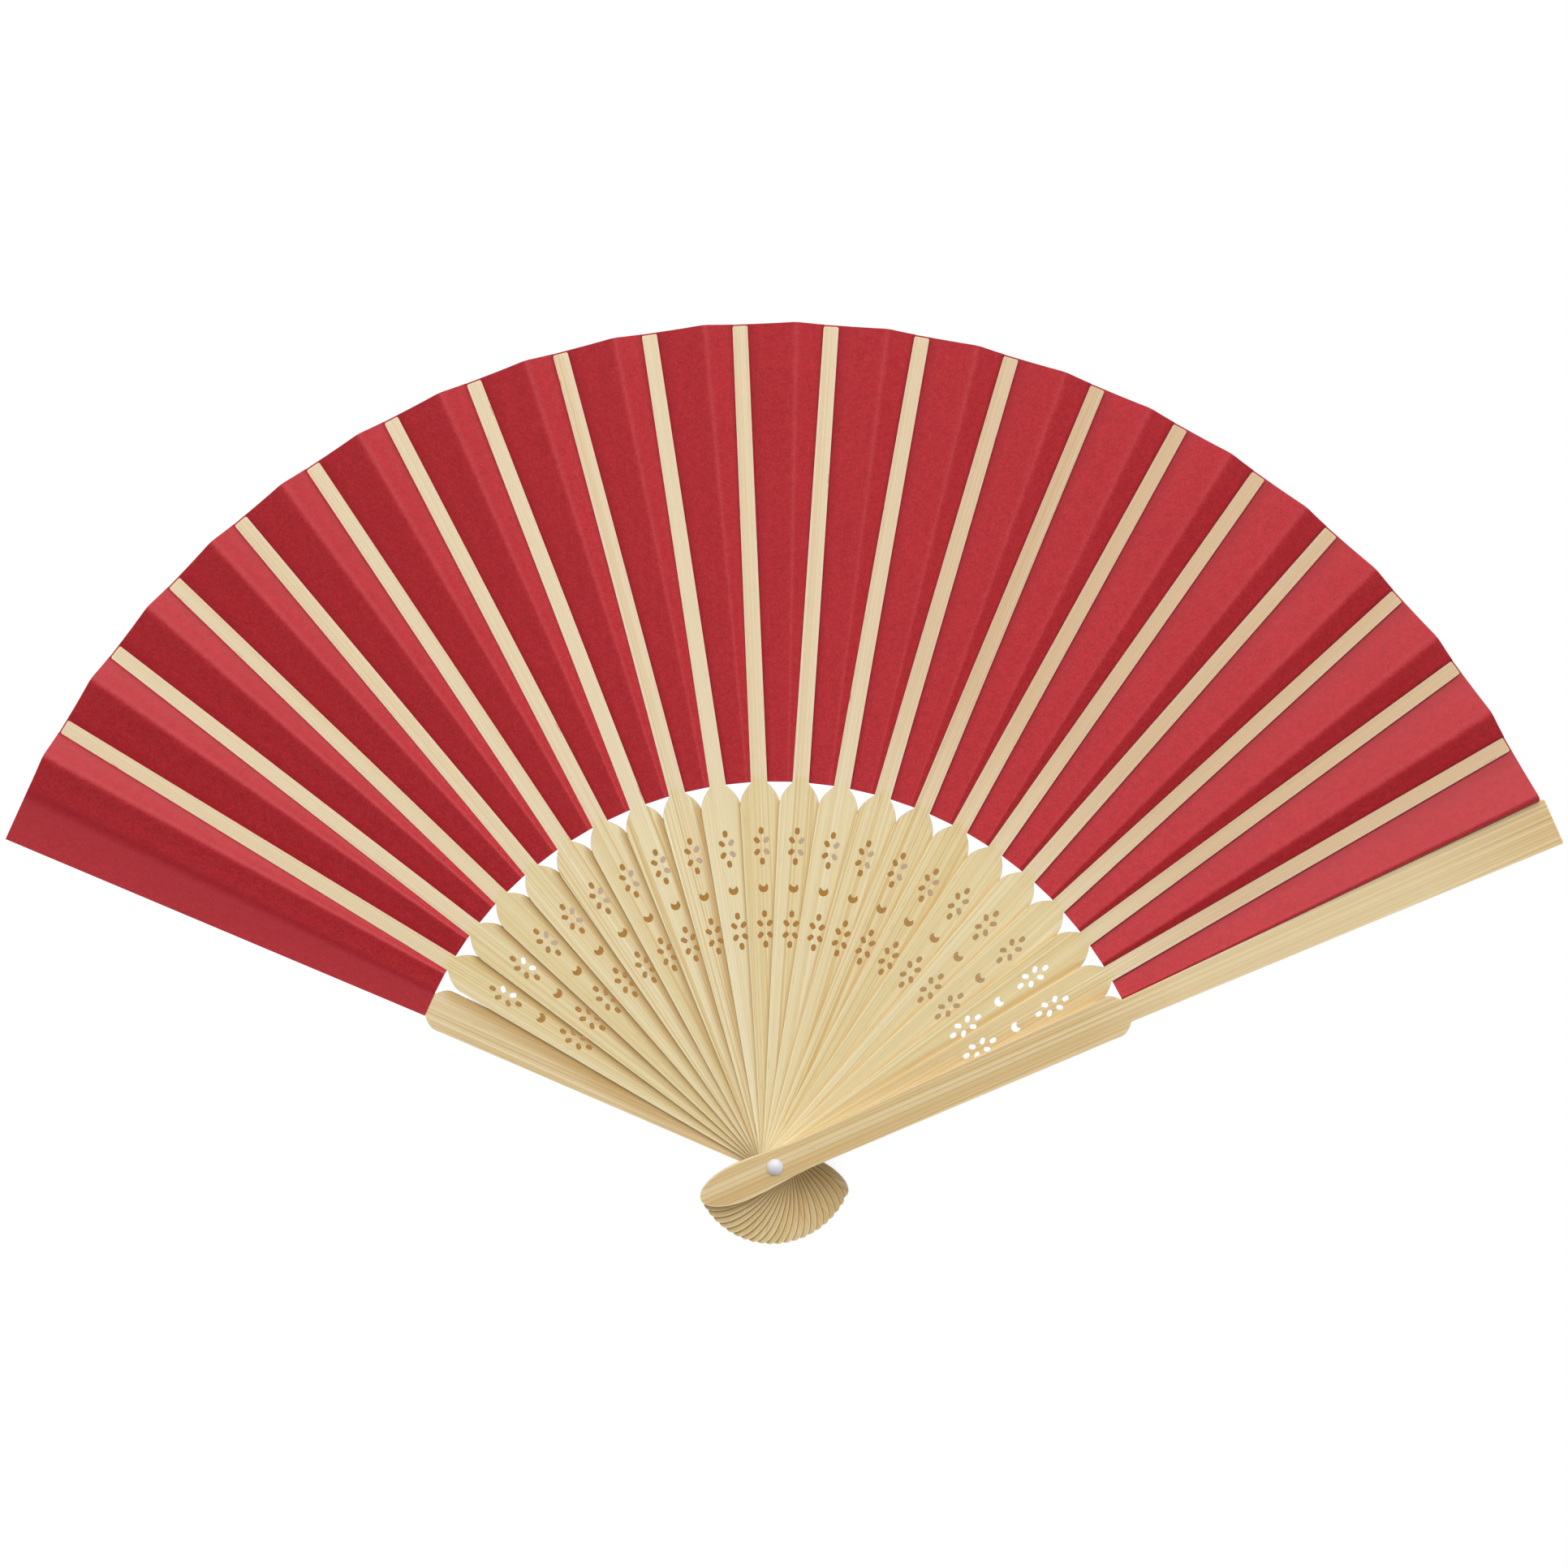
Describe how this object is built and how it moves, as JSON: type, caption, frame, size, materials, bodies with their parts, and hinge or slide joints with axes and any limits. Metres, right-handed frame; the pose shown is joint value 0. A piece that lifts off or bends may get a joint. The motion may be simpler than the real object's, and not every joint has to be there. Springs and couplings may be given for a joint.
{
  "type": "folding hand fan",
  "caption": "Folding hand fan: a pleated red paper leaf on pierced bamboo ribs between two bamboo guards, all turning on one rivet.",
  "frame": {"origin": "on the rivet's axis, at the flat crown of its rear head, the plane that the fan lies on", "axes": "+Z along the rivet towards its front dome, +Y along the middle of the open leaf, +X across it towards the front guard"},
  "size_m": [0.3519, 0.2082, 0.0219],
  "materials": {
    "bamboo": "bare, sanded smooth",
    "red_paper": "matte, dyed",
    "white_plastic": "smooth"
  },
  "bodies": {
    "back_guard": {"back_guard": "bamboo", "rivet": "white_plastic", "leaf_pleat_00": "red_paper"},
    "rib_01": {"rib_01": "bamboo", "leaf_pleat_01": "red_paper"},
    "rib_02": {"rib_02": "bamboo", "leaf_pleat_02": "red_paper"},
    "rib_03": {"rib_03": "bamboo", "leaf_pleat_03": "red_paper"},
    "rib_04": {"rib_04": "bamboo", "leaf_pleat_04": "red_paper"},
    "rib_05": {"rib_05": "bamboo", "leaf_pleat_05": "red_paper"},
    "rib_06": {"rib_06": "bamboo", "leaf_pleat_06": "red_paper"},
    "rib_07": {"rib_07": "bamboo", "leaf_pleat_07": "red_paper"},
    "rib_08": {"rib_08": "bamboo", "leaf_pleat_08": "red_paper"},
    "rib_09": {"rib_09": "bamboo", "leaf_pleat_09": "red_paper"},
    "rib_10": {"rib_10": "bamboo", "leaf_pleat_10": "red_paper"},
    "rib_11": {"rib_11": "bamboo", "leaf_pleat_11": "red_paper"},
    "rib_12": {"rib_12": "bamboo", "leaf_pleat_12": "red_paper"},
    "rib_13": {"rib_13": "bamboo", "leaf_pleat_13": "red_paper"},
    "rib_14": {"rib_14": "bamboo", "leaf_pleat_14": "red_paper"},
    "rib_15": {"rib_15": "bamboo", "leaf_pleat_15": "red_paper"},
    "rib_16": {"rib_16": "bamboo", "leaf_pleat_16": "red_paper"},
    "rib_17": {"rib_17": "bamboo", "leaf_pleat_17": "red_paper"},
    "rib_18": {"rib_18": "bamboo", "leaf_pleat_18": "red_paper"},
    "rib_19": {"rib_19": "bamboo", "leaf_pleat_19": "red_paper"},
    "rib_20": {"rib_20": "bamboo", "leaf_pleat_20": "red_paper"},
    "front_guard": {"front_guard": "bamboo", "leaf_pleat_21": "red_paper"}
  },
  "joints": [
    {"name": "front_guard_swing", "type": "hinge", "parent": "back_guard", "child": "front_guard", "pos_m": [0, 0, 0], "axis": [0, 0, 1], "range_deg": [0, 131.71], "deforming": ["leaf_pleat_00", "leaf_pleat_01", "leaf_pleat_02", "leaf_pleat_03", "leaf_pleat_04", "leaf_pleat_05", "leaf_pleat_06", "leaf_pleat_07", "leaf_pleat_08", "leaf_pleat_09", "leaf_pleat_10", "leaf_pleat_11", "leaf_pleat_12", "leaf_pleat_13", "leaf_pleat_14", "leaf_pleat_15", "leaf_pleat_16", "leaf_pleat_17", "leaf_pleat_18", "leaf_pleat_19", "leaf_pleat_20", "leaf_pleat_21"]},
    {"name": "rib_01_swing", "type": "hinge", "parent": "back_guard", "child": "rib_01", "pos_m": [0, 0, 0], "axis": [0, 0, 1], "range_deg": [0, 6.3]},
    {"name": "rib_02_swing", "type": "hinge", "parent": "back_guard", "child": "rib_02", "pos_m": [0, 0, 0], "axis": [0, 0, 1], "range_deg": [0, 12.54]},
    {"name": "rib_03_swing", "type": "hinge", "parent": "back_guard", "child": "rib_03", "pos_m": [0, 0, 0], "axis": [0, 0, 1], "range_deg": [0, 18.78]},
    {"name": "rib_04_swing", "type": "hinge", "parent": "back_guard", "child": "rib_04", "pos_m": [0, 0, 0], "axis": [0, 0, 1], "range_deg": [0, 25.02]},
    {"name": "rib_05_swing", "type": "hinge", "parent": "back_guard", "child": "rib_05", "pos_m": [0, 0, 0], "axis": [0, 0, 1], "range_deg": [0, 31.26]},
    {"name": "rib_06_swing", "type": "hinge", "parent": "back_guard", "child": "rib_06", "pos_m": [0, 0, 0], "axis": [0, 0, 1], "range_deg": [0, 37.5]},
    {"name": "rib_07_swing", "type": "hinge", "parent": "back_guard", "child": "rib_07", "pos_m": [0, 0, 0], "axis": [0, 0, 1], "range_deg": [0, 43.74]},
    {"name": "rib_08_swing", "type": "hinge", "parent": "back_guard", "child": "rib_08", "pos_m": [0, 0, 0], "axis": [0, 0, 1], "range_deg": [0, 49.98]},
    {"name": "rib_09_swing", "type": "hinge", "parent": "back_guard", "child": "rib_09", "pos_m": [0, 0, 0], "axis": [0, 0, 1], "range_deg": [0, 56.22]},
    {"name": "rib_10_swing", "type": "hinge", "parent": "back_guard", "child": "rib_10", "pos_m": [0, 0, 0], "axis": [0, 0, 1], "range_deg": [0, 62.46]},
    {"name": "rib_11_swing", "type": "hinge", "parent": "back_guard", "child": "rib_11", "pos_m": [0, 0, 0], "axis": [0, 0, 1], "range_deg": [0, 68.7]},
    {"name": "rib_12_swing", "type": "hinge", "parent": "back_guard", "child": "rib_12", "pos_m": [0, 0, 0], "axis": [0, 0, 1], "range_deg": [0, 74.94]},
    {"name": "rib_13_swing", "type": "hinge", "parent": "back_guard", "child": "rib_13", "pos_m": [0, 0, 0], "axis": [0, 0, 1], "range_deg": [0, 81.18]},
    {"name": "rib_14_swing", "type": "hinge", "parent": "back_guard", "child": "rib_14", "pos_m": [0, 0, 0], "axis": [0, 0, 1], "range_deg": [0, 87.42]},
    {"name": "rib_15_swing", "type": "hinge", "parent": "back_guard", "child": "rib_15", "pos_m": [0, 0, 0], "axis": [0, 0, 1], "range_deg": [0, 93.66]},
    {"name": "rib_16_swing", "type": "hinge", "parent": "back_guard", "child": "rib_16", "pos_m": [0, 0, 0], "axis": [0, 0, 1], "range_deg": [0, 99.9]},
    {"name": "rib_17_swing", "type": "hinge", "parent": "back_guard", "child": "rib_17", "pos_m": [0, 0, 0], "axis": [0, 0, 1], "range_deg": [0, 106.14]},
    {"name": "rib_18_swing", "type": "hinge", "parent": "back_guard", "child": "rib_18", "pos_m": [0, 0, 0], "axis": [0, 0, 1], "range_deg": [0, 112.38]},
    {"name": "rib_19_swing", "type": "hinge", "parent": "back_guard", "child": "rib_19", "pos_m": [0, 0, 0], "axis": [0, 0, 1], "range_deg": [0, 118.62]},
    {"name": "rib_20_swing", "type": "hinge", "parent": "back_guard", "child": "rib_20", "pos_m": [0, 0, 0], "axis": [0, 0, 1], "range_deg": [0, 124.86]}
  ],
  "couplings": [
    {"joint": "rib_01_swing", "follows": "front_guard_swing", "ratio": 0.047832},
    {"joint": "rib_02_swing", "follows": "front_guard_swing", "ratio": 0.095209},
    {"joint": "rib_03_swing", "follows": "front_guard_swing", "ratio": 0.14258},
    {"joint": "rib_04_swing", "follows": "front_guard_swing", "ratio": 0.18996},
    {"joint": "rib_05_swing", "follows": "front_guard_swing", "ratio": 0.23734},
    {"joint": "rib_06_swing", "follows": "front_guard_swing", "ratio": 0.28472},
    {"joint": "rib_07_swing", "follows": "front_guard_swing", "ratio": 0.33209},
    {"joint": "rib_08_swing", "follows": "front_guard_swing", "ratio": 0.37947},
    {"joint": "rib_09_swing", "follows": "front_guard_swing", "ratio": 0.42685},
    {"joint": "rib_10_swing", "follows": "front_guard_swing", "ratio": 0.47422},
    {"joint": "rib_11_swing", "follows": "front_guard_swing", "ratio": 0.5216},
    {"joint": "rib_12_swing", "follows": "front_guard_swing", "ratio": 0.56898},
    {"joint": "rib_13_swing", "follows": "front_guard_swing", "ratio": 0.61635},
    {"joint": "rib_14_swing", "follows": "front_guard_swing", "ratio": 0.66373},
    {"joint": "rib_15_swing", "follows": "front_guard_swing", "ratio": 0.71111},
    {"joint": "rib_16_swing", "follows": "front_guard_swing", "ratio": 0.75848},
    {"joint": "rib_17_swing", "follows": "front_guard_swing", "ratio": 0.80586},
    {"joint": "rib_18_swing", "follows": "front_guard_swing", "ratio": 0.85324},
    {"joint": "rib_19_swing", "follows": "front_guard_swing", "ratio": 0.90061},
    {"joint": "rib_20_swing", "follows": "front_guard_swing", "ratio": 0.94799}
  ]
}
